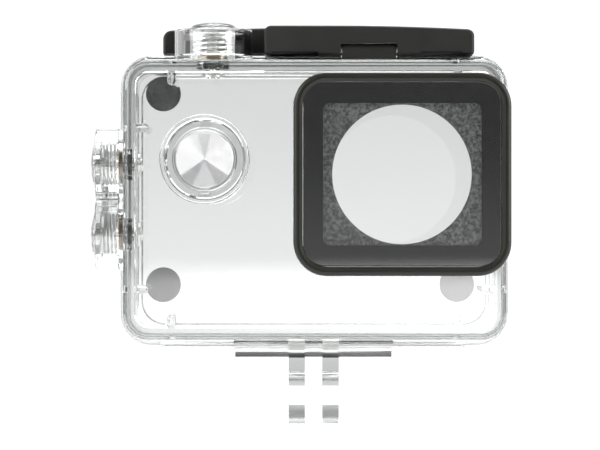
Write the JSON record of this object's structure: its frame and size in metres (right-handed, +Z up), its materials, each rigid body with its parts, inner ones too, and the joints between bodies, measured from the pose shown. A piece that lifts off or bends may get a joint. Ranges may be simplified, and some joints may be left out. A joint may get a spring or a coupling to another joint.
{
  "type": "action camera housing",
  "caption": "Clear waterproof housing for a small action camera: hinged back door, black latch lever, lens port, sprung push buttons and a pronged mount.",
  "frame": {"origin": "centre of the pivot hole through the two mounting prongs", "axes": "+X right seen from the front and along the pivot hole, -Y the front with the lens port, +Z up to the latch"},
  "size_m": [0.0769, 0.0355, 0.0737],
  "materials": {
    "clear_plastic": "clear moulded polycarbonate, polished",
    "clear_cap": "clear moulded plastic button caps",
    "window_glass": "flat polished glass with a black printed border",
    "latch_plastic": "fine textured black plastic",
    "bezel_plastic": "satin black plastic",
    "mask_plastic": "grained dark grey plastic",
    "steel": "bright stainless steel",
    "disc_metal": "radially spun, bright",
    "brass": "plain",
    "rubber": "matt black rubber",
    "silicone": "translucent white silicone",
    "foam": "fine matt foam"
  },
  "bodies": {
    "case": {"front_case": "clear_plastic", "hinge_pin": "steel", "latch_pin": "steel", "lens_bezel": "bezel_plastic", "lens_window": "window_glass", "lens_mask": "mask_plastic", "lens_seal": "silicone", "top_button_oring": "rubber", "top_button_washer": "brass", "top_button_spring": "steel", "side_button_upper_oring": "rubber", "side_button_upper_washer": "brass", "side_button_upper_spring": "steel", "side_button_lower_oring": "rubber", "side_button_lower_washer": "brass", "side_button_lower_spring": "steel", "shutter_oring": "rubber", "shutter_washer": "brass", "shutter_spring": "steel"},
    "door": {"back_door": "clear_plastic", "door_gasket": "silicone", "pad_top_left": "foam", "pad_top_right": "foam", "pad_bottom_left": "foam", "pad_bottom_right": "foam"},
    "latch": {"latch_lever": "latch_plastic"},
    "top_button": {"top_button_cap": "clear_cap", "top_button_stem": "steel", "top_button_clip": "steel"},
    "side_button_upper": {"side_button_upper_cap": "clear_cap", "side_button_upper_stem": "steel", "side_button_upper_clip": "steel"},
    "side_button_lower": {"side_button_lower_cap": "clear_cap", "side_button_lower_stem": "steel", "side_button_lower_clip": "steel"},
    "shutter_button": {"shutter_cap": "clear_cap", "shutter_stem": "steel", "shutter_clip": "steel", "shutter_disc": "disc_metal"}
  },
  "joints": [
    {"name": "door_hinge", "type": "hinge", "parent": "case", "child": "door", "pos_m": [0, 0.012, 0.0065], "axis": [-1, 0, 0], "range_deg": [0, 95]},
    {"name": "latch_hinge", "type": "hinge", "parent": "case", "child": "latch", "pos_m": [0, -0.0099, 0.0608], "axis": [1, 0, 0], "range_deg": [0, 95]},
    {"name": "top_button_press", "type": "slide", "parent": "case", "child": "top_button", "axis": [0, 0, -1], "range_m": [0, 0.0015], "stiffness_N_per_m": 400, "springref_m": -0.001, "deforming": ["top_button_spring"]},
    {"name": "side_button_upper_press", "type": "slide", "parent": "case", "child": "side_button_upper", "axis": [1, 0, 0], "range_m": [0, 0.0015], "stiffness_N_per_m": 400, "springref_m": -0.001, "deforming": ["side_button_upper_spring"]},
    {"name": "side_button_lower_press", "type": "slide", "parent": "case", "child": "side_button_lower", "axis": [1, 0, 0], "range_m": [0, 0.0015], "stiffness_N_per_m": 400, "springref_m": -0.001, "deforming": ["side_button_lower_spring"]},
    {"name": "shutter_press", "type": "slide", "parent": "case", "child": "shutter_button", "axis": [0, 1, 0], "range_m": [0, 0.0012], "stiffness_N_per_m": 400, "springref_m": -0.001, "deforming": ["shutter_spring"]}
  ],
  "couplings": [
    {"joint": "latch_hinge", "follows": "door_hinge", "ratio": 1}
  ]
}
